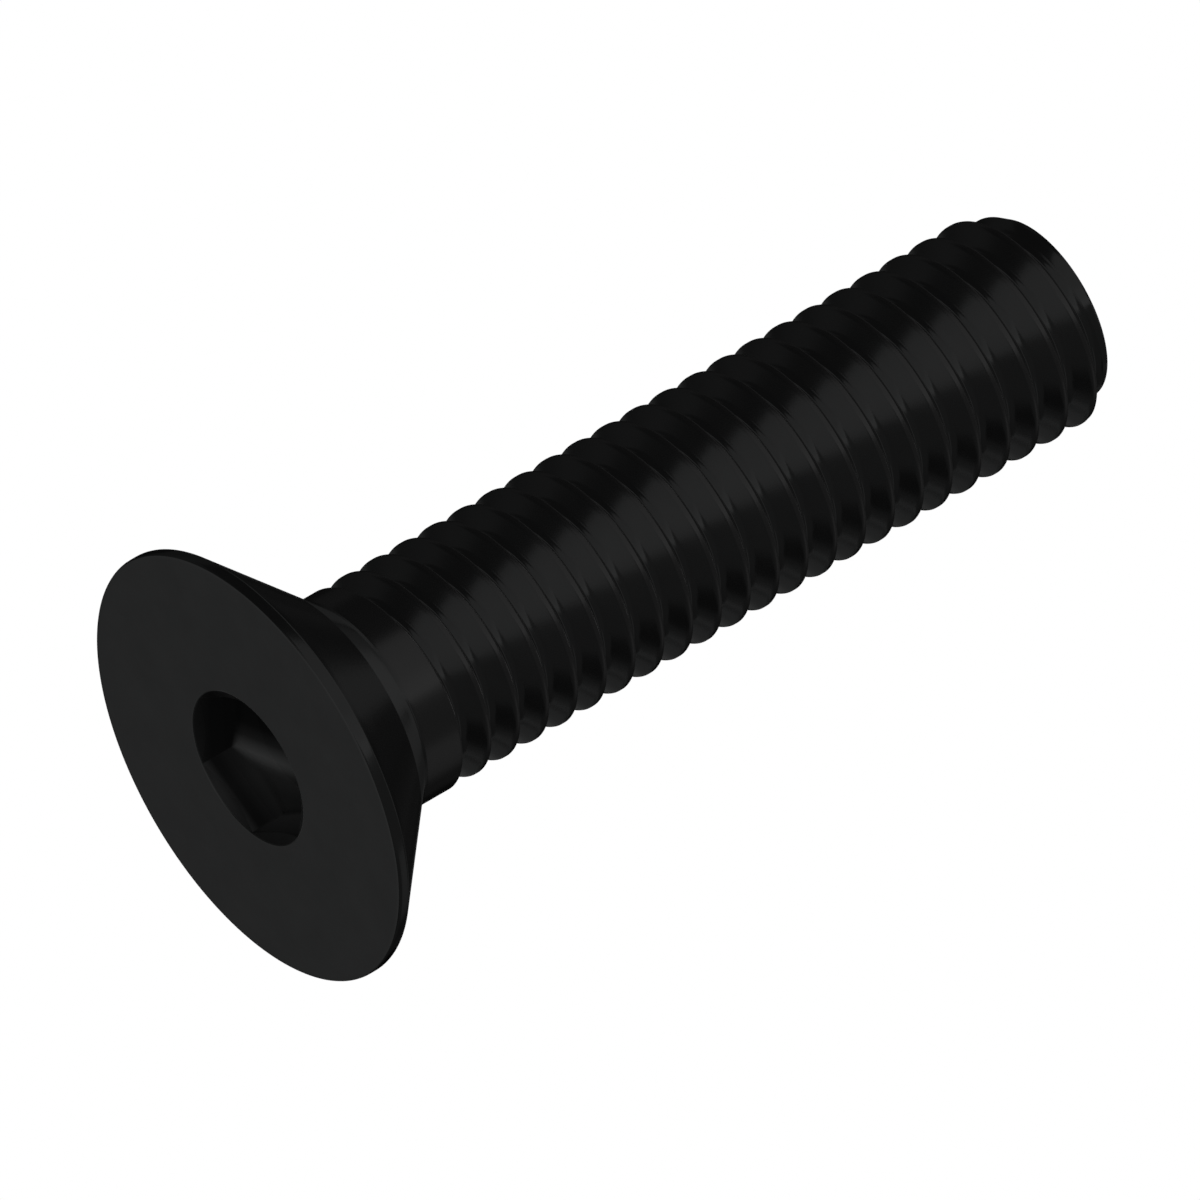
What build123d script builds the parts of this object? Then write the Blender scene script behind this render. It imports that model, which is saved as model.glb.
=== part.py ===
"""A countersunk screw with a hexagon socket, cold formed in one piece with a rolled thread.

The screw stands on its flat head. The origin is the middle of that flat face, and +Z runs along
the screw to its threaded end. Sizes are in millimetres and angles in degrees.
"""

import os
from math import atan, ceil, cos, degrees, radians, tan

from build123d import *

# Head
head_diameter = 16.0
rim_height = 0.4
countersink_angle = 90.0
face_edge_radius = 0.1
cone_edge_radius = 0.15
neck_radius = 0.3

# Shank and its chamfered end
screw_length = 34.5
thread_major = 7.95
end_diameter = 6.7
end_chamfer_length = 0.9

# Right-hand thread: flat crest and root, and flanks that lean this much from square to the axis
thread_pitch = 1.25
crest_width = 0.156
root_width = 0.208
flank_angle = 30.0
plain_neck_length = 1.07
groove_start_angle = 21.0
run_in_turns = 0.42

# Hexagon socket, with a coned mouth, and a coned bottom that begins at this depth in the corners
socket_flats = 5.0
socket_depth = 1.45
mouth_diameter = 5.85
mouth_angle = 120.0
bottom_angle = 120.0

# How far a cutter reaches outside what it cuts
cutter_reach = 0.4


def cone_depth(radius, full_angle):
    """The depth of a cone with this base radius and this full angle at its point."""
    return radius / tan(radians(full_angle / 2))


# The cutter's sides follow the flanks to a little past the crest, where they leave half of the
# crest's width between two turns, and then go straight out.
flank_lean = tan(radians(flank_angle))
groove_depth = (thread_pitch - crest_width - root_width) / 2 / flank_lean
half_root = root_width / 2
half_cutter = (thread_pitch - crest_width / 2) / 2
flare_depth = (half_cutter - half_root) / flank_lean
cutter_depth = groove_depth + cutter_reach

corner_radius = socket_flats / 2 / cos(radians(30))
head_radius = head_diameter / 2
shank_radius = thread_major / 2
head_height = rim_height + cone_depth(head_radius - shank_radius, countersink_angle)
groove_start = head_height + plain_neck_length
run_in_height = run_in_turns * thread_pitch
run_in_slope = degrees(atan(groove_depth / run_in_height))


def groove_section(path):
    """The outline that cuts the groove, square to the start of a helix, with its root on the helix."""
    start = path @ 0
    outward = Vector(start.X, start.Y, 0)
    with BuildSketch(Plane(origin=start, x_dir=outward, z_dir=path % 0)) as section:
        with BuildLine():
            Polyline(
                (0, -half_root),
                (flare_depth, -half_cutter),
                (cutter_depth, -half_cutter),
                (cutter_depth, half_cutter),
                (flare_depth, half_cutter),
                (0, half_root),
                close=True,
            )
        make_face()
    return section.sketch


# The groove comes in from the surface of the neck to its full depth along a narrowing helix.
with BuildPart() as run_in:
    with BuildLine(mode=Mode.PRIVATE) as run_in_path:
        Helix(
            pitch=thread_pitch / cos(radians(run_in_slope)),
            height=run_in_height,
            radius=shank_radius,
            center=(0, 0, groove_start),
            cone_angle=-run_in_slope,
        )
    sweep(groove_section(run_in_path.line), path=run_in_path.line, is_frenet=True)

# One full turn of the groove at its full depth.
with BuildPart() as turn:
    with BuildLine(mode=Mode.PRIVATE) as turn_path:
        Helix(
            pitch=thread_pitch,
            height=thread_pitch,
            radius=shank_radius - groove_depth,
            center=(0, 0, groove_start + run_in_height),
        )
    sweep(groove_section(turn_path.line), path=turn_path.line, is_frenet=True)

# The hexagon has two of its corners on the X axis. The cone that closes it is cut off by its flats,
# so it reaches deeper in the middle of each flat than in the corners.
with BuildPart() as socket:
    with BuildSketch(Plane.XY):
        RegularPolygon(radius=socket_flats / 2, side_count=6, major_radius=False)
    extrude(amount=socket_depth + cone_depth(corner_radius, bottom_angle))
    with BuildSketch(Plane.XZ):
        with BuildLine():
            Polyline(
                (0, 0),
                (corner_radius + cutter_reach, 0),
                (corner_radius + cutter_reach, socket_depth - cone_depth(cutter_reach, bottom_angle)),
                (0, socket_depth + cone_depth(corner_radius, bottom_angle)),
                close=True,
            )
        make_face()
    revolve(axis=Axis.Z, mode=Mode.INTERSECT)

with BuildPart() as screw:
    # Head and shank are turned from half of their outline, a list of corners and their radii.
    outline = [
        ((0, 0), 0),
        ((head_radius, 0), face_edge_radius),
        ((head_radius, rim_height), cone_edge_radius),
        ((shank_radius, head_height), neck_radius),
        ((shank_radius, screw_length - end_chamfer_length), 0),
        ((end_diameter / 2, screw_length), 0),
        ((0, screw_length), 0),
    ]
    with BuildSketch(Plane.XZ):
        with BuildLine():
            FilletPolyline(
                *[corner for corner, radius in outline],
                radius=[radius for corner, radius in outline],
                close=True,
            )
        make_face()
    revolve(axis=Axis.Z)

    # The socket goes in from the flat face, and one more cone opens its mouth.
    add(socket.part, mode=Mode.SUBTRACT)
    with BuildSketch(Plane.XZ):
        with BuildLine():
            Polyline(
                (0, 0),
                (mouth_diameter / 2, 0),
                (0, cone_depth(mouth_diameter / 2, mouth_angle)),
                close=True,
            )
        make_face()
    revolve(axis=Axis.Z, mode=Mode.SUBTRACT)

    # The thread is cut turn by turn, from the run-in to past the end of the screw.
    add(run_in.part, rotation=(0, 0, groove_start_angle), mode=Mode.SUBTRACT)
    full_start_angle = groove_start_angle + 360 * run_in_turns
    turns = ceil((screw_length - groove_start - run_in_height) / thread_pitch + 1)
    for index in range(turns):
        with Locations((0, 0, index * thread_pitch)):
            add(turn.part, rotation=(0, 0, full_start_angle), mode=Mode.SUBTRACT)

print("head height", round(head_height, 3), "turns", turns, "volume", round(screw.part.volume, 1))
os.makedirs("parts", exist_ok=True)
screw.part.label = "screw"
export_step(screw.part, "parts/screw.step")
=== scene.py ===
# %% [markdown]
# This lesson dresses a black countersunk screw. The screw is one piece of steel: its head and
# socket are formed cold, its thread is rolled, and an oxide bath turns it black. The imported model
# gives the screw's true place and size, and Blender gives it rounded edges and a finish.

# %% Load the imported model
from math import ceil, cos, pi, radians, sin, tan

import bmesh
import bpy
from mathutils import Matrix, Vector


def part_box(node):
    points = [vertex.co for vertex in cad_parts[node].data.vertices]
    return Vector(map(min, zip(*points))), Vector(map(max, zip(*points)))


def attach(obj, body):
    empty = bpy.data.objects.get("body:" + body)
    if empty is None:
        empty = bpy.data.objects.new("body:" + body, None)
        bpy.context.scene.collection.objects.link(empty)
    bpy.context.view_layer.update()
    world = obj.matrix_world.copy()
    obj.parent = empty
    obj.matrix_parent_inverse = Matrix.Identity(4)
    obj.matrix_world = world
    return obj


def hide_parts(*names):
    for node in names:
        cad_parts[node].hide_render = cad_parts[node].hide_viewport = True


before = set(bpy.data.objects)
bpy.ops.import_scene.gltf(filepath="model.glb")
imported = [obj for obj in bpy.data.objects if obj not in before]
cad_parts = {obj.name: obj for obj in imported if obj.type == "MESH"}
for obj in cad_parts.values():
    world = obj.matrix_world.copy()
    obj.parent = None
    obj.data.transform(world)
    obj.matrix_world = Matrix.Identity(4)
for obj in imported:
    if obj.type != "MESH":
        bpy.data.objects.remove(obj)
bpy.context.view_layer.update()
cad_low, cad_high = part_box("screw")
MM = 0.001
print("screw:", [round((high - low) / MM, 2) for low, high in zip(cad_low, cad_high)], "mm")

# %% [markdown]
# A fine model of a screw could be carved with booleans, but they leave ragged faces where a thread
# runs out. This one is woven instead. Columns of points stand all round the axis, and each row of
# points is a ring or a turn of the thread. Every point is a radius and a height in millimetres,
# found by a formula, so the rows follow the thread and no face crosses an edge.

# %% Columns all round the axis
COLUMNS = 180
column_angles = [2 * pi * index / COLUMNS for index in range(COLUMNS)]
rows = []


def add_ring(radius, height):
    """Adds a round and level ring to the rows."""
    rows.append([(radius, height)] * COLUMNS)


def add_round(center_radius, center_height, radius, start, end, steps):
    """Adds rings along a rounded edge, an arc from one direction to another in degrees."""
    for step in range(steps + 1):
        turn = radians(start + (end - start) * step / steps)
        add_ring(center_radius + radius * cos(turn), center_height + radius * sin(turn))


def add_bend(before, corner, after, steps):
    """Adds rings round a corner, where each of the three places is a function of the angle."""
    for step in range(steps + 1):
        part = step / steps
        shares = ((1 - part) ** 2, 2 * part * (1 - part), part**2)
        ring = []
        for angle in column_angles:
            places = (before(angle), corner(angle), after(angle))
            radius = sum(share * place[0] for share, place in zip(shares, places))
            height = sum(share * place[1] for share, place in zip(shares, places))
            ring.append((radius, height))
        rows.append(ring)


print("columns:", COLUMNS, "of them,", 360 / COLUMNS, "degrees apart")

# %% [markdown]
# The socket takes a 5 mm key. A punch drives the hexagon into the blank, and leaves a coned mouth
# and a coned bottom. The six walls could be an extruded hexagon, but here the rings of the socket
# are simply not round: the radius of a hexagon is its half width over the cosine of the angle from
# the middle of the nearest side.

# %% Shape of the socket
SOCKET_FLATS = 5.0
SOCKET_DEPTH = 1.45
MOUTH_DIAMETER = 5.85
MOUTH_SLOPE = tan(radians(30))
BOTTOM_SLOPE = tan(radians(30))
half_flats = SOCKET_FLATS / 2
corner_radius = half_flats / cos(pi / 6)
mouth_radius = MOUTH_DIAMETER / 2


def hexagon(angle):
    """The socket's radius at an angle, with corners on the X axis."""
    return half_flats / cos((angle % (pi / 3)) - pi / 6)


def on_mouth(radius):
    """A place on the coned mouth."""
    return radius, (mouth_radius - radius) * MOUTH_SLOPE


def on_bottom(radius):
    """A place on the coned bottom, which begins at its least depth, in the corners."""
    return radius, SOCKET_DEPTH + (corner_radius - radius) * BOTTOM_SLOPE


print("socket:", round(2 * corner_radius, 2), "mm across its corners")

# %% [markdown]
# The rows start at the socket's deepest point and work outwards: over the bottom, along the walls
# and over the mouth to the face. Sharp corners would look cut from paper, so each one becomes a
# bend, a curve that leaves one surface and joins the next. At the hexagon's corners the mouth is
# narrow, and the round of the edge shrinks to fit it.

# %% Rows of the socket
BOTTOM_SHARES = (0, 0.2, 0.45, 0.7)
SOCKET_ROUND = 0.2
SOCKET_EDGE = 0.05
EDGE_SHARE = 0.45


def above_bottom(angle):
    """A place on the wall, where the round of the bottom begins."""
    radius, height = on_bottom(hexagon(angle))
    return radius, height - SOCKET_ROUND


def edge_room(angle):
    """How far the round of the socket's edge reaches."""
    return min(SOCKET_EDGE, EDGE_SHARE * (mouth_radius - hexagon(angle)))


def below_edge(angle):
    """A place on the wall, where the round of the edge begins."""
    radius, height = on_mouth(hexagon(angle))
    return radius, height + edge_room(angle)


for share in BOTTOM_SHARES:
    rows.append([on_bottom(share * hexagon(angle)) for angle in column_angles])
add_bend(
    lambda angle: on_bottom(hexagon(angle) - SOCKET_ROUND),
    lambda angle: on_bottom(hexagon(angle)),
    above_bottom,
    steps=4,
)
add_bend(
    below_edge,
    lambda angle: on_mouth(hexagon(angle)),
    lambda angle: on_mouth(hexagon(angle) + edge_room(angle)),
    steps=4,
)
mouth_room = edge_room(0)
add_bend(
    lambda angle: on_mouth(mouth_radius - mouth_room),
    lambda angle: (mouth_radius, 0),
    lambda angle: (mouth_radius + mouth_room, 0),
    steps=3,
)
print("socket rings:", len(rows))

# %% [markdown]
# The head is a flat disc over a 90 degree cone, joined by a narrow rim. A tumbled and blackened
# screw has no knife edges, so each corner of the outline is an arc of a few rings. Such rounds are
# what catch the light on a dark part. The cone's side leans 45 degrees, so it rises by as much as
# it narrows.

# %% Head and neck
HEAD_DIAMETER = 16.0
RIM_HEIGHT = 0.4
CONE_LEAN = 45
FACE_EDGE = 0.1
CONE_EDGE = 0.15
NECK_FILLET = 0.3
THREAD_MAJOR = 7.95
CONE_MARGIN = 0.35
half_bend = tan(radians(CONE_LEAN / 2))
head_radius = HEAD_DIAMETER / 2
shank_radius = THREAD_MAJOR / 2
head_height = RIM_HEIGHT + head_radius - shank_radius
cone_edge_height = RIM_HEIGHT - CONE_EDGE * half_bend
neck_fillet_height = head_height + NECK_FILLET * half_bend

add_ring(mouth_radius + SOCKET_EDGE, 0)
add_ring((mouth_radius + head_radius) / 2, 0)
add_ring(head_radius - FACE_EDGE * 2, 0)
add_round(head_radius - FACE_EDGE, FACE_EDGE, FACE_EDGE, start=-90, end=0, steps=5)
add_round(head_radius - CONE_EDGE, cone_edge_height, CONE_EDGE, start=0, end=CONE_LEAN, steps=4)
add_ring(head_radius - CONE_MARGIN, RIM_HEIGHT + CONE_MARGIN)
add_ring(shank_radius + CONE_MARGIN, head_height - CONE_MARGIN)
neck_center = shank_radius + NECK_FILLET
add_round(neck_center, neck_fillet_height, NECK_FILLET, start=180 + CONE_LEAN, end=180, steps=5)
print("head height:", round(head_height, 3), "mm, rows so far:", len(rows))

# %% [markdown]
# A rolled thread has a rounded crest and a rounded root. The groove is measured across itself: a
# flat root, two straight flanks, and an edge that moves out as the groove runs in from the neck.
# Where the root meets the flanks, a soft limit rounds the corner: it follows the greater of two
# values, and blends them where they are nearly equal.

# %% Section of the groove
PITCH = 1.25
CREST_WIDTH = 0.156
ROOT_WIDTH = 0.208
ROOT_ROUND = 0.14
RUN_IN_TURNS = 0.42
FLANK_LEAN = tan(radians(30))
groove_depth = (PITCH - CREST_WIDTH - ROOT_WIDTH) / 2 / FLANK_LEAN
root_radius = shank_radius - groove_depth
half_root = ROOT_WIDTH / 2


def soft_least(first, second, blend):
    """The lesser of two values, rounded off where they are nearly equal."""
    near = max(blend - abs(first - second), 0) / blend
    return min(first, second) - near * near * blend / 4


def soft_most(first, second, blend):
    """The greater of two values, rounded off where they are nearly equal."""
    return -soft_least(-first, -second, blend)


def root_rise(turns):
    """How far the root lies above its full depth, this many turns after the groove starts."""
    return groove_depth * min(max(1 - turns / RUN_IN_TURNS, 0), 1)


def groove_radius(across, turns):
    """The radius of one turn of the groove, this far across from its middle."""
    if turns < 0:
        return shank_radius + PITCH
    rise = root_rise(turns)
    flank = root_radius + rise + (abs(across) - half_root) / FLANK_LEAN
    return soft_most(flank, root_radius + rise, ROOT_ROUND)


print("thread depth:", round(groove_depth, 3), "mm")

# %% [markdown]
# A point of the shank has the groove's nearest turn beside it, one turn below and one above, and
# the chamfer towards the end of the screw. It lies on whichever is deepest there. The same soft
# limit, this time for the least of the values, rounds the crests.

# %% Surface of the shank
SCREW_LENGTH = 34.5
END_DIAMETER = 6.7
END_CHAMFER = 0.9
PLAIN_NECK = 1.07
GROOVE_START_TURNS = 21 / 360
CREST_ROUND = 0.03
groove_start = head_height + PLAIN_NECK
chamfer_slope = (THREAD_MAJOR - END_DIAMETER) / 2 / END_CHAMFER


def shank_surface(height, turns):
    """The radius of the shank at a height, on the column where the groove has made these turns."""
    middle = groove_start + turns * PITCH
    nearest = round((height - middle) / PITCH)
    radius = shank_radius
    for shift in (nearest - 1, nearest, nearest + 1):
        groove = groove_radius(height - middle - shift * PITCH, turns + shift)
        radius = soft_least(radius, groove, CREST_ROUND)
    return min(radius, END_DIAMETER / 2 + (SCREW_LENGTH - height) * chamfer_slope)


print("groove starts", round(groove_start, 2), "mm up")

# %% [markdown]
# The rows of the thread climb one pitch in each turn, so the last column of one turn meets the
# first column of the next. They are closest where the surface bends most, beside the root and the
# crest. Rows that would start below the neck or pass the end are held level there, and the points
# that then fall together are merged later.

# %% Rows that climb with the thread
NECK_MARGIN = 0.05
FIRST_TURN = -2
ROOT_SHARE = 0.6
FLANK_SHARES = (0, 0.12, 0.22, 0.85, 0.97, 1)
CREST_SHARE = 0.25
LEAST_FLANK = 0.02
thread_bottom = neck_fillet_height + NECK_MARGIN
last_turn = ceil((SCREW_LENGTH - groove_start) / PITCH) + 1


def places_across(turns):
    """Where the points of one pitch lie, measured from the middle of the groove."""
    flank = max((groove_depth - root_rise(turns)) * FLANK_LEAN, LEAST_FLANK)
    edge = half_root + flank
    side = [half_root * ROOT_SHARE]
    side += [half_root + flank * share for share in FLANK_SHARES]
    side += [edge + (PITCH / 2 - edge) * CREST_SHARE]
    return [-place for place in reversed(side)] + [0] + side + [PITCH / 2]


PLACES = len(places_across(0))
shank_row = len(rows)
for turn in range(FIRST_TURN, last_turn + 1):
    turn_rows = [[] for place in range(PLACES)]
    for angle in column_angles:
        turns = turn + angle / (2 * pi) - GROOVE_START_TURNS
        for row, across in zip(turn_rows, places_across(turns)):
            height = groove_start + turns * PITCH + across
            height = min(max(height, thread_bottom), SCREW_LENGTH)
            row.append((shank_surface(height, turns), height))
    rows.extend(turn_rows)
end_row = len(rows)
print("rows of the thread:", end_row - shank_row)

# %% [markdown]
# The mesh could be drawn face by face, but a grid needs only one rule: join each point to the next
# column and the next row. Between the last column and the first, the rows of the thread are joined
# one turn further on, which is what makes the thread a spiral.

# %% Weave the rows into one closed mesh
vertices = []
for row in rows:
    for (radius, height), angle in zip(row, column_angles):
        vertices.append((radius * cos(angle) * MM, radius * sin(angle) * MM, height * MM))
end_center = len(vertices)
vertices.append((0, 0, SCREW_LENGTH * MM))


def point(row, column):
    """The number of the vertex in a row and a column, past the last column too."""
    if column == COLUMNS:
        column = 0
        if shank_row <= row < end_row:
            row = min(row + PLACES, end_row - 1)
    return row * COLUMNS + column


faces = []
for row in range(len(rows) - 1):
    for column in range(COLUMNS):
        lower_side = (point(row, column), point(row, column + 1))
        upper_side = (point(row + 1, column + 1), point(row + 1, column))
        faces.append(lower_side + upper_side)
last_row = len(rows) - 1
for column in range(COLUMNS):
    faces.append((point(last_row, column), point(last_row, column + 1), end_center))
print("points:", len(vertices), "faces:", len(faces))

# %% [markdown]
# The woven grid has points that fall together, at the socket's bottom and where rows were held
# level. Merging them closes the surface. The sides are shaded smooth, apart from corners that are
# sharper than 40 degrees, such as those of the hexagon. The end face is shaded flat, because the
# last groove meets it at a slope that smooth shading would smear over it.

# %% The screw as an object
MERGE_DISTANCE = 1e-7
SHORTEST_EDGE = 1e-8
SHARP_ANGLE = radians(40)
end_face_height = (SCREW_LENGTH - 0.001) * MM
mesh = bpy.data.meshes.new("screw_steel")
mesh.from_pydata(vertices, [], faces)
work = bmesh.new()
work.from_mesh(mesh)
bmesh.ops.remove_doubles(work, verts=work.verts, dist=MERGE_DISTANCE)
bmesh.ops.dissolve_degenerate(work, edges=work.edges, dist=SHORTEST_EDGE)
bmesh.ops.recalc_face_normals(work, faces=work.faces)
open_edges = sum(1 for edge in work.edges if len(edge.link_faces) != 2)
print("open edges:", open_edges, "volume:", round(work.calc_volume() / MM**3, 1), "mm3")
work.to_mesh(mesh)
work.free()
mesh.shade_smooth()
mesh.set_sharp_from_angle(angle=SHARP_ANGLE)
for face in mesh.polygons:
    if face.center.z > end_face_height:
        face.use_smooth = False
screw = bpy.data.objects.new("screw_steel", mesh)
bpy.context.scene.collection.objects.link(screw)
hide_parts("screw")
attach(screw, "root")
print("triangles:", sum(len(face.vertices) - 2 for face in mesh.polygons))

# %% [markdown]
# In the photograph, the sides of the thread are as bright as the crests beside them, although on a
# real thread each turn would stand in the way of what its neighbour mirrors. Hiding the screw from
# mirror rays gives that clean look: every face then mirrors only the studio. It stays visible in
# all other ways and still casts its shadow.

# %% A screw that doesn't mirror itself
screw.visible_glossy = False
print("seen in mirrors:", screw.visible_glossy)

# %% [markdown]
# Black oxide is a dark skin about a thousandth of a millimetre thick, with a dull shine from the
# oil in it. A black plastic would have a soft body colour under a clear gloss. Steel has no body
# colour, so the shader is fully metallic, and the specular tint holds back the bright rim that dark
# metals otherwise get where they are seen edge-on. A small helper keeps each node short.

# %% Black oxide, a dark metal
EDGE_TINT = (0.45, 0.45, 0.45, 1)
steel = bpy.data.materials.new("black_steel")
steel.use_nodes = True
mesh.materials.append(steel)
oxide = steel.node_tree
shader = oxide.nodes["Principled BSDF"]
shader.inputs["Metallic"].default_value = 1
shader.inputs["Specular Tint"].default_value = EDGE_TINT


def add_node(tree, kind, inputs, **settings):
    """Adds a node with its settings, and gives each input a value or a link."""
    node = tree.nodes.new("ShaderNode" + kind)
    for name, setting in settings.items():
        setattr(node, name, setting)
    for name, value in inputs.items():
        if isinstance(value, bpy.types.NodeSocket):
            tree.links.new(value, node.inputs[name])
        else:
            node.inputs[name].default_value = value
    return node


print("shader:", shader.name)

# %% [markdown]
# The bath never takes evenly. Faint clouds about two millimetres across vary the colour and the
# dullness a little, and a grain of a tenth of a millimetre breaks up the mirror. Both are noises in
# the object's own space, so they need no unwrapping and stay with the screw from every side.

# %% Clouds and grain
CLOUDS_PER_METRE = 500
GRAINS_PER_METRE = 9000
DEEP_BLACK = (0.0283, 0.0288, 0.0288)
SOFT_BLACK = (0.0307, 0.0312, 0.0312)
LEAST_DULLNESS = 0.16
MOST_DULLNESS = 0.2
surface_place = add_node(oxide, "TexCoord", {}).outputs["Object"]


def add_noise(scale, detail):
    """A noise with this many waves in a metre."""
    inputs = {"Vector": surface_place, "Scale": scale, "Detail": detail, "Roughness": 0.6}
    return add_node(oxide, "TexNoise", inputs).outputs["Fac"]


def add_mix(share, first, second, blend="MIX"):
    """A colour that goes from the first to the second with the share."""
    mix = add_node(oxide, "Mix", {}, data_type="RGBA", blend_type=blend)
    for name, value in (("Factor", share), ("A", first), ("B", second)):
        if isinstance(value, tuple):
            mix.inputs[name].default_value = (*value, 1)
        else:
            oxide.links.new(value, mix.inputs[name])
    return mix.outputs["Result"]


cloud_range = {"Value": add_noise(CLOUDS_PER_METRE, detail=4), "From Min": 0.3, "From Max": 0.7}
cloudiness = add_node(oxide, "MapRange", cloud_range).outputs["Result"]
grain = add_noise(GRAINS_PER_METRE, detail=3)
skin = add_mix(cloudiness, DEEP_BLACK, SOFT_BLACK)
dull_range = {"Value": cloudiness, "To Min": LEAST_DULLNESS, "To Max": MOST_DULLNESS}
dullness = add_node(oxide, "MapRange", dull_range).outputs["Result"]
print("nodes for clouds and grain:", len(oxide.nodes))

# %% [markdown]
# Wear and light change from place to place on the screw. Two measures tell where a point of the
# surface lies: its distance from the axis, and its height above the face of the head. A ramp turns
# such a measure into a level, straight between a few stops. A painted image could do the same, but
# it would need an unwrapped thread.

# %% Measures of place
place_parts = add_node(oxide, "SeparateXYZ", {"Vector": surface_place}).outputs
height_up = place_parts["Z"]
level_parts = {"X": place_parts["X"], "Y": place_parts["Y"]}
level_place = add_node(oxide, "CombineXYZ", level_parts).outputs["Vector"]
level_length = add_node(oxide, "VectorMath", {"Vector": level_place}, operation="LENGTH")
from_axis = level_length.outputs["Value"]


def add_ramp(value, stops, unit=MM):
    """A level for each value, straight between stops. A stop is a place in units and a level."""
    low, high = stops[0][0], stops[-1][0]
    limits = {"Value": value, "From Min": low * unit, "From Max": high * unit}
    share = add_node(oxide, "MapRange", limits).outputs["Result"]
    ramp = add_node(oxide, "ValToRGB", {"Fac": share})
    elements = ramp.color_ramp.elements
    while len(elements) < len(stops):
        elements.new(0.5)
    for element, (place, level) in zip(elements, stops):
        element.position = (place - low) / (high - low)
        element.color = (level, level, level, 1)
    return ramp.outputs["Color"]


def add_math(tree, operation, *values):
    """The result of a sum with two or three values."""
    node = add_node(tree, "Math", dict(enumerate(values)), operation=operation)
    return node.outputs["Value"]


print("nodes with the measures of place:", len(oxide.nodes))

# %% [markdown]
# The crests touch everything that the screw passes through, so their oxide is rubbed to a slightly
# lighter and duller line, and the neck is a little worn too. The mask is a ramp that is full only
# at the crests' distance from the axis, times a ramp that leaves out the head.

# %% Worn crests and neck
WORN_BLACK = (0.0335, 0.0335, 0.0335)
WORN_DULLNESS = 0.08
CREST_STOPS = [(-0.02, 0), (-0.003, 1), (0.015, 1), (0.025, 0)]
HEAD_FADE = 0.2
outermost = add_ramp(from_axis, [(shank_radius + place, level) for place, level in CREST_STOPS])
past_head = add_ramp(height_up, [(head_height, 0), (head_height + HEAD_FADE, 1)])
worn = add_math(oxide, "MULTIPLY", outermost, past_head)
skin = add_mix(worn, skin, WORN_BLACK)
dullness = add_math(oxide, "MULTIPLY_ADD", worn, WORN_DULLNESS, dullness)
print("worn from", round(head_height, 2), "mm up")

# %% [markdown]
# The end of the screw was cut off and never touched the rolling dies, so it is duller than the
# rest. A second material would do, but one more ramp by height keeps the whole screw in a single
# finish.

# %% Duller end
END_DULLNESS = 0.3
END_STOPS = [(-0.03, 0), (-0.01, 1)]
at_end = add_ramp(height_up, [(SCREW_LENGTH + place, level) for place, level in END_STOPS])
dullness = add_math(oxide, "MULTIPLY_ADD", at_end, END_DULLNESS, dullness)
print("duller end:", END_DIAMETER, "mm across")

# %% [markdown]
# Where the cone runs into the neck, the photograph shows a light collar. The upset steel is steeper
# there than the cone. The true step is too small for the outline, so a bump carries it: its height
# grows towards the neck, which turns the shading outwards. A second bump, from the grain, lies on
# top of it.

# %% Collar at the foot of the neck, and grain
COLLAR_RADIUS = 5.0
COLLAR_TILT = radians(20)
COLLAR_TOP = shank_radius + 0.02
FACE_STOPS = [(1, 0), (2, 1)]
GRAIN_STRENGTH = 0.15
GRAIN_HEIGHT = 0.005
collar_length = (COLLAR_RADIUS - shank_radius) / cos(radians(CONE_LEAN))
collar_rise = add_ramp(from_axis, [(COLLAR_TOP, 1), (COLLAR_RADIUS, 0)])
collar_height = add_math(oxide, "MULTIPLY", collar_rise, add_ramp(height_up, FACE_STOPS))
collar_step = {"Height": collar_height, "Distance": collar_length * tan(COLLAR_TILT) * MM}
collar = add_node(oxide, "Bump", collar_step).outputs["Normal"]
grain_step = {"Height": grain, "Strength": GRAIN_STRENGTH, "Distance": GRAIN_HEIGHT * MM}
bumps = add_node(oxide, "Bump", {"Normal": collar, **grain_step}).outputs["Normal"]
print("collar:", round(collar_length, 2), "mm long")

# %% [markdown]
# Inside a real socket, light bounces between the walls and fades inwards. This screw doesn't mirror
# itself, so the fading is painted into the material's colour as painted shade, with some painted
# light, from three masks: one for the whole socket, one for its coned bottom, and the turn of each
# point round the axis, which tells the walls apart.

# %% Where the socket is
MOUTH_STOPS = [(-0.025, 1), (0.015, 0)]
BOTTOM_FADE = 0.04
point_height = SOCKET_DEPTH + corner_radius * BOTTOM_SLOPE
within_mouth = add_ramp(from_axis, [(mouth_radius + place, level) for place, level in MOUTH_STOPS])
socket_stops = [(0.01, 0), (0.03, 1), (point_height + 0.3, 1), (point_height + 0.5, 0)]
in_socket = add_math(oxide, "MULTIPLY", within_mouth, add_ramp(height_up, socket_stops))
above_cone = add_math(oxide, "MULTIPLY_ADD", from_axis, BOTTOM_SLOPE, height_up)
bottom_stops = [(point_height - SOCKET_ROUND, 0), (point_height - BOTTOM_FADE, 1)]
at_bottom = add_ramp(above_cone, bottom_stops)
round_axis = add_node(oxide, "TexGradient", {"Vector": surface_place}, gradient_type="RADIAL")


def by_turn(stops):
    """A level by the turn round the axis, for stops in degrees from -180 to 180."""
    shares = [(angle / 360 + 0.5, level) for angle, level in stops]
    return add_ramp(round_axis.outputs["Fac"], shares, unit=1)


print("socket's point:", round(point_height, 2), "mm deep")
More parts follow.
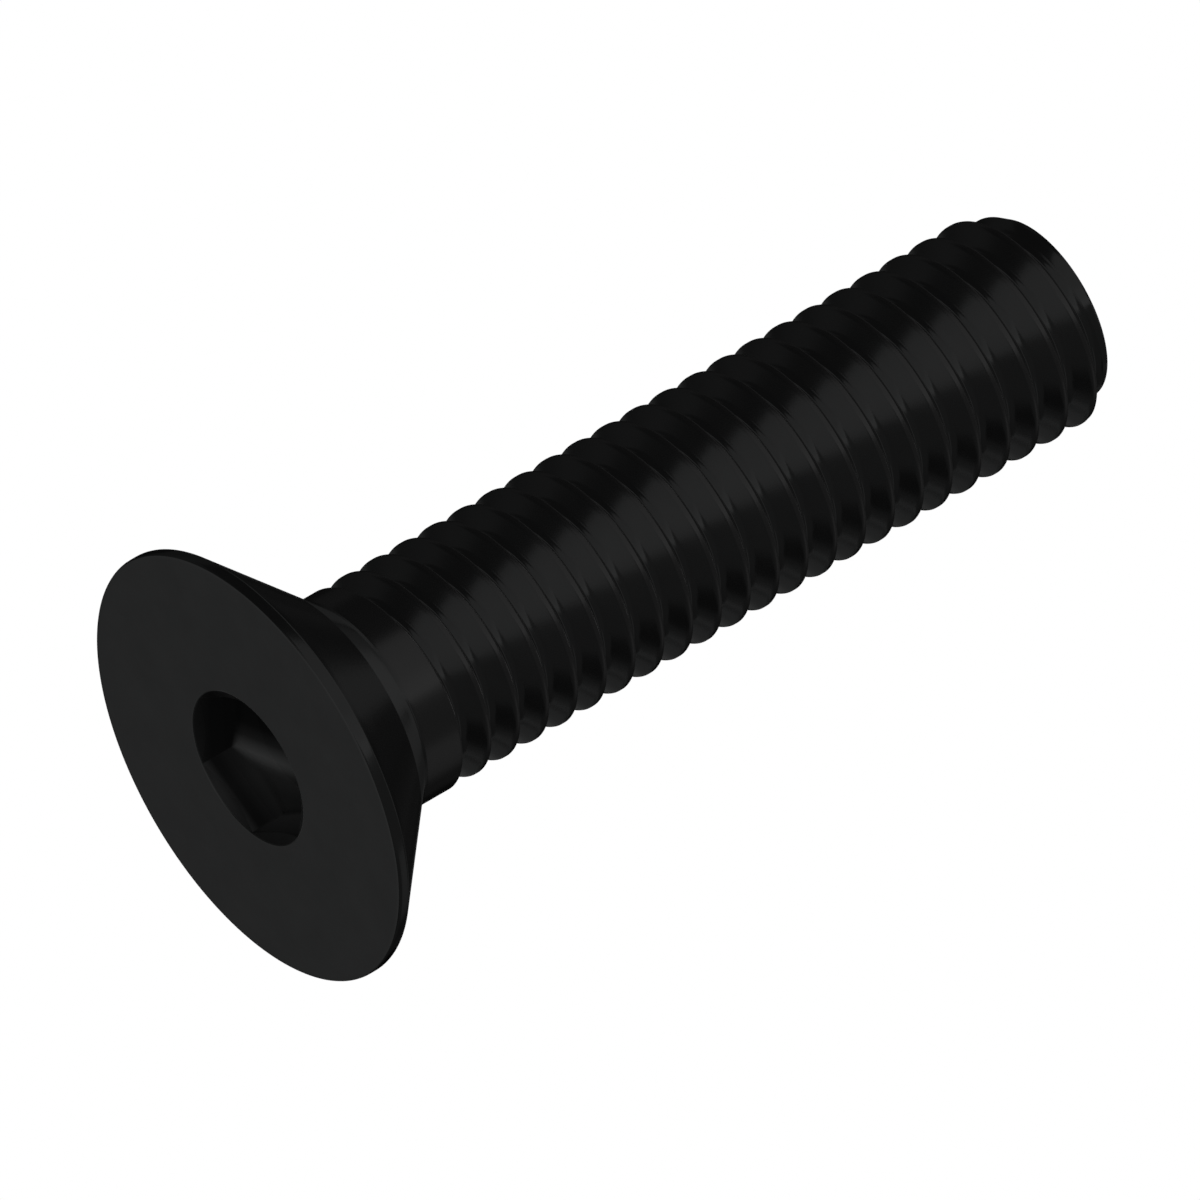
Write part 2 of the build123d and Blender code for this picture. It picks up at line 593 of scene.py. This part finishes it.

# %% [markdown]
# The wall that faces the camera is painted light at the mouth, then a band of painted shade, and
# grows lighter again towards the bottom in painted light. The lower walls in the picture are
# painted lighter all the way, and the others stay in painted shade. Each kind of wall gets its own
# ramp by depth, and a last ramp round the axis balances the painted light and shade of the six
# sides.

# %% Painted shade and light on the walls of the socket
DARK_WALL_SHADE_STOPS = [(0, 0.5), (0.45, 0.31), (1.5, 0.3)]
LOWER_WALL_LIGHT_STOPS = [(0, 0.6), (0.3, 0.9), (1.2, 1.3)]
LOWER_TURNS = [(-50, 0), (-38, 1), (59, 1), (61, 0)]
FACING_WALL_SHADING_STOPS = [(0, 0.72), (0.12, 0.72), (0.38, 0.24), (0.6, 0.23), (1.4, 0.5)]
FACING_TURNS = [(59, 0), (61, 1), (119.3, 1), (120.7, 0)]
PAINTED_SHADING_BY_TURN = [(-180, 0.9), (-165, 0.45), (-30, 0.45), (0, 0.9), (60, 0.95)]
PAINTED_SHADING_BY_TURN += [(95, 1.3), (125, 1), (180, 0.95)]
# Painted shade and painted light: each ramp is a level by depth or by turn, not a colour of the
# steel.
painted_dark_wall_shade = add_ramp(height_up, DARK_WALL_SHADE_STOPS)
painted_wall_shading = add_mix(by_turn(LOWER_TURNS), painted_dark_wall_shade, add_ramp(height_up, LOWER_WALL_LIGHT_STOPS))
painted_wall_shading = add_mix(by_turn(FACING_TURNS), painted_wall_shading, add_ramp(height_up, FACING_WALL_SHADING_STOPS))
painted_wall_shading = add_math(oxide, "MULTIPLY", painted_wall_shading, by_turn(PAINTED_SHADING_BY_TURN))
print("nodes with the walls:", len(oxide.nodes))

# %% [markdown]
# One bright streak, a painted highlight, runs across the bottom, with painted grey shade on one
# side of it and dark painted shade on the other. A streak is a ramp along a straight direction: the
# dot product of a point and that direction tells how far the point lies across the streak.

# %% Painted highlight across the bottom
ACROSS_STREAK = (-0.5355, -0.4769, 0.6970)
BEFORE_STREAK = [(-0.4, 0.48), (0.1, 0.67), (0.25, 0.96)]
PAINTED_STREAK_STOPS = [(0.4, 1.7), (0.55, 2.1), (0.7, 1.6)]
PAST_STREAK = [(1.0, 0.55), (1.4, 0.22)]
SOCKET_DULLNESS = 0.4
directions = {0: surface_place, 1: ACROSS_STREAK}
across_streak = add_node(oxide, "VectorMath", directions, operation="DOT_PRODUCT")
# The painted highlight and the painted shade beside it, as levels across the streak.
painted_bottom_streak = add_ramp(across_streak.outputs["Value"], BEFORE_STREAK + PAINTED_STREAK_STOPS + PAST_STREAK)
# The painted shade and painted light of the socket are multiplied into the steel's colour there.
painted_socket_shading = add_mix(at_bottom, painted_wall_shading, painted_bottom_streak)
skin = add_mix(in_socket, skin, painted_socket_shading, blend="MULTIPLY")
dullness = add_math(oxide, "MULTIPLY_ADD", in_socket, SOCKET_DULLNESS, dullness)
print("streak:", round(PAINTED_STREAK_STOPS[-1][0] - PAINTED_STREAK_STOPS[0][0], 2), "mm wide")

# %% [markdown]
# The last step joins the colour, the dullness and the bumps to the shader. Until now they were only
# sockets handed from cell to cell, which made it easy to try one change at a time.

# %% Finish on the shader
oxide.links.new(skin, shader.inputs["Base Color"])
oxide.links.new(dullness, shader.inputs["Roughness"])
oxide.links.new(bumps, shader.inputs["Normal"])
print("nodes in the finish:", len(oxide.nodes))

# %% [markdown]
# The photograph looks at the socket from below, along a line 63 degrees from the screw's axis, with
# the picture turned so that the screw rises to the upper right. Its outline shows no perspective,
# so the camera is orthographic. Three directions fix it: back towards the camera, and right and up
# in the picture.

# %% Camera
VIEW_TILT = radians(63)
VIEW_AZIMUTH = radians(-78)
IMAGE_ROLL = radians(30)
FRAME_WIDTH = 40.13
IMAGE_SIZE = 1200
FACE_CENTER_PIXEL = (247.8, 768.2)
CAMERA_DISTANCE = 100
axis = Vector((0, 0, 1))
toward = Vector((cos(VIEW_AZIMUTH), sin(VIEW_AZIMUTH), 0))
across = axis.cross(toward)
back = sin(VIEW_TILT) * toward - cos(VIEW_TILT) * axis
along = cos(VIEW_TILT) * toward + sin(VIEW_TILT) * axis
right = cos(IMAGE_ROLL) * along + sin(IMAGE_ROLL) * across
up = sin(IMAGE_ROLL) * along - cos(IMAGE_ROLL) * across
pixel = FRAME_WIDTH / IMAGE_SIZE
aim = right * (IMAGE_SIZE / 2 - FACE_CENTER_PIXEL[0]) * pixel
aim += up * (FACE_CENTER_PIXEL[1] - IMAGE_SIZE / 2) * pixel
camera = bpy.data.objects.new("camera", bpy.data.cameras.new("camera"))
camera.data.type = "ORTHO"
camera.data.ortho_scale = FRAME_WIDTH * MM
camera.data.clip_start = 0.001
camera.data.clip_end = 10
turned = Matrix((right, up, back)).transposed().to_4x4()
camera.matrix_world = Matrix.Translation((aim + back * CAMERA_DISTANCE) * MM) @ turned
bpy.context.scene.collection.objects.link(camera)
bpy.context.scene.camera = camera
print("camera looks along:", [round(part, 2) for part in -back])

# %% [markdown]
# The screw stands on a plain pale sheet of paper, which takes its shadow. Paper is matt and
# scatters light evenly, so a pale colour, a high roughness and little gloss are enough. It lies a
# hair below the head, because two faces in one plane would flicker in the render.

# %% Pale floor
REACH = 1.5
FLOOR_DROP = 0.02
SQUARE = ((-1, -1), (1, -1), (1, 1), (-1, 1))
floor_mesh = bpy.data.meshes.new("floor")
corners = [(x * REACH, y * REACH, -FLOOR_DROP * MM) for x, y in SQUARE]
floor_mesh.from_pydata(corners, [], [(0, 1, 2, 3)])
floor = bpy.data.objects.new("floor", floor_mesh)
bpy.context.scene.collection.objects.link(floor)
floor.visible_glossy = False
paper = bpy.data.materials.new("pale_paper")
paper.use_nodes = True
floor_mesh.materials.append(paper)
sheet = paper.node_tree.nodes["Principled BSDF"]
sheet.inputs["Base Color"].default_value = (0.8, 0.8, 0.8, 1)
sheet.inputs["Roughness"].default_value = 0.9
sheet.inputs["Specular IOR Level"].default_value = 0.1
print("floor:", 2 * REACH, "m wide")

# %% [markdown]
# The photograph looks up at the head from below the floor, which would hide the screw. The sheet
# could be left out, but then no shadow would show from above. Instead it mixes two shaders: the
# paper, and a clear one that only camera rays from its lower side meet.

# %% A floor that is clear from below
pulp = paper.node_tree
camera_ray = add_node(pulp, "LightPath", {}).outputs["Is Camera Ray"]
lower_face = add_node(pulp, "NewGeometry", {}).outputs["Backfacing"]
from_below = add_math(pulp, "MULTIPLY", camera_ray, lower_face)
clear = add_node(pulp, "BsdfTransparent", {}).outputs["BSDF"]
cover = add_node(pulp, "MixShader", {0: from_below, 1: sheet.outputs["BSDF"], 2: clear})
pulp.links.new(cover.outputs["Shader"], pulp.nodes["Material Output"].inputs["Surface"])
print("floor nodes:", len(pulp.nodes))

# %% [markdown]
# The background is pure white where the camera, a mirror or glass sees it. For all other light, the
# same world is a plain soft fill at less than half of that. The Light Path node tells the two kinds
# of ray apart, so the white costs no extra light on the screw.

# %% White world
SOFT_FILL = 0.45
world = bpy.data.worlds.new("studio")
bpy.context.scene.world = world
world.use_nodes = True
sky = world.node_tree
ray_kinds = add_node(sky, "LightPath", {}).outputs
seen = add_math(sky, "MAXIMUM", ray_kinds["Is Camera Ray"], ray_kinds["Is Glossy Ray"])
seen = add_math(sky, "MAXIMUM", seen, ray_kinds["Is Transmission Ray"])
strength = add_node(sky, "MapRange", {"Value": seen, "To Min": SOFT_FILL, "To Max": 1})
backdrop = sky.nodes["Background"]
backdrop.inputs["Color"].default_value = (1, 1, 1, 1)
sky.links.new(strength.outputs["Result"], backdrop.inputs["Strength"])
bpy.context.scene.view_settings.view_transform = "Standard"
print("world nodes:", len(sky.nodes))

# %% [markdown]
# A dark mirror shows its surroundings more than its own colour. A photographer puts white and black
# cards round such a part, and here they are pieces of a sphere, each with its own even glow. Only
# mirror rays see them, so they light nothing. Azimuth and elevation place them, in degrees round
# the screw.

# %% One card
CARD_STEP = 6


def card_glow(name, level):
    """An even glow, which the renderer doesn't count as a lamp."""
    glow = bpy.data.materials.new(name)
    glow.use_nodes = True
    glow.node_tree.nodes.clear()
    light = add_node(glow.node_tree, "Emission", {"Strength": level})
    add_node(glow.node_tree, "OutputMaterial", {"Surface": light.outputs["Emission"]})
    glow.cycles.emission_sampling = "NONE"
    return glow


def add_card(name, from_azimuth, to_azimuth, from_elevation, to_elevation, level, distance):
    """A curved card round the screw that only mirrors see, as bright as its level."""
    across_steps = ceil((to_azimuth - from_azimuth) / CARD_STEP)
    up_steps = ceil((to_elevation - from_elevation) / CARD_STEP)
    points = []
    for step in range(up_steps + 1):
        elevation = radians(from_elevation + (to_elevation - from_elevation) * step / up_steps)
        reach = distance * cos(elevation)
        for turn in range(across_steps + 1):
            azimuth = radians(from_azimuth + (to_azimuth - from_azimuth) * turn / across_steps)
            points.append((reach * cos(azimuth), reach * sin(azimuth), distance * sin(elevation)))
    wide = across_steps + 1
    quads = []
    for step in range(up_steps):
        for turn in range(across_steps):
            first = step * wide + turn
            quads.append((first, first + 1, first + wide + 1, first + wide))
    card_mesh = bpy.data.meshes.new(name)
    card_mesh.from_pydata(points, [], quads)
    card_mesh.materials.append(card_glow(name, level))
    card = bpy.data.objects.new(name, card_mesh)
    bpy.context.scene.collection.objects.link(card)
    card.visible_camera = False
    card.visible_diffuse = False
    card.visible_shadow = False
    card.visible_transmission = False


print("card faces are", CARD_STEP, "degrees wide at most")

# %% [markdown]
# The studio is read off the photograph: a tall bright softbox on the camera's side makes the band
# along the screw, grey walls stand left and right, the back is black, and a bright floor lights the
# face of the head. The large cards close the sphere, and smaller patches stand in front of them. A
# few of them light only the rounded edges of the crests, which shows the thread where its flanks
# are dark. Each card has a name, its first and last azimuth, its first and last elevation, and its
# level.

# %% Cards that the steel mirrors
CARDS = [
    ("left_dark", 126, 240, -72, 58, 0.12),
    ("softbox_left", 240, 262, -82, 70, 0.55),
    ("softbox_middle", 262, 284, -82, 70, 0.58),
    ("softbox_right", 284, 298, -82, 70, 0.68),
    ("softbox_edge", 298, 306, -82, 70, 0.85),
    ("right_grey", 306, 360, -75, 70, 0.25),
    ("right_dim", 360, 435, -75, 70, 0.22),
    ("back_dim", 75, 126, 5, 47, 0.03),
    ("back_grey", 75, 126, 47, 58, 0.075),
    ("back_high", 75, 240, 58, 70, 0.15),
    ("below_back", 66, 126, -82, 5, 0.80),
    ("below_left", 126, 240, -82, -72, 0.58),
    ("below_cap", 0, 360, -90, -82, 0.6),
    ("below_right", 306, 426, -82, -75, 0.6),
    ("above", 82, 335, 70, 90, 0.78),
    ("above_right", 335, 442, 70, 90, 0.22),
]
PATCHES = [
    ("left_low_patch", 126, 156, -60, 5, 0.23),
    ("left_middle_patch", 156, 178, -30, 5, 0.22),
    ("left_high_patch", 142, 174, 5, 45, 0.28),
    ("left_upper_patch", 140, 240, 46, 58, 0.65),
    ("black_patch", 66, 126, 5, 40, 0.01),
    ("dark_edge_patch", 126, 141, 5, 40, 0.04),
    ("wedge_patch", 205, 240, -73, -60, 0.55),
    ("right_patch", 357, 399, 20, 36, 0.47),
    ("right_high_patch", 306, 424, 57, 70, 0.62),
    ("right_tip_patch", 392, 436, 38, 57, 0.5),
    ("shadow_patch", 409, 426, -48, -31, 0.085),
    ("high_left_patch", 170, 240, 60, 70, 0.4),
    ("high_spot_patch", 98, 112, 57, 70, 0.5),
]
SMALL_PATCHES = [("edge_patch", 97, 107, 26.5, 33.5, 0.12)]
for distance, cards in ((0.5, CARDS), (0.45, PATCHES), (0.4, SMALL_PATCHES)):
    for card in cards:
        add_card(*card, distance)
    print("cards", distance, "m away:", len(cards))

# %% [markdown]
# The steel needs no lamps, but the floor does: two soft ones give the screw its shadow there. They
# are hidden from mirror rays, so they put no square highlights on the thread.

# %% Lamps
def add_lamp(name, azimuth, elevation, distance, size, power):
    """A square soft lamp that faces the screw, out of the mirrors' sight."""
    lamp = bpy.data.objects.new(name, bpy.data.lights.new(name, "AREA"))
    lamp.data.size = size
    lamp.data.energy = power
    around = radians(azimuth)
    rise = radians(elevation)
    place = Vector((cos(rise) * cos(around), cos(rise) * sin(around), sin(rise))) * distance
    facing = place.to_track_quat("Z", "Y").to_matrix().to_4x4()
    lamp.matrix_world = Matrix.Translation(place) @ facing
    lamp.visible_glossy = False
    bpy.context.scene.collection.objects.link(lamp)
    print("lamp:", name, power, "W")


add_lamp("key", azimuth=-100, elevation=50, distance=0.4, size=0.25, power=1.6)
add_lamp("fill", azimuth=20, elevation=40, distance=0.4, size=0.3, power=0.8)
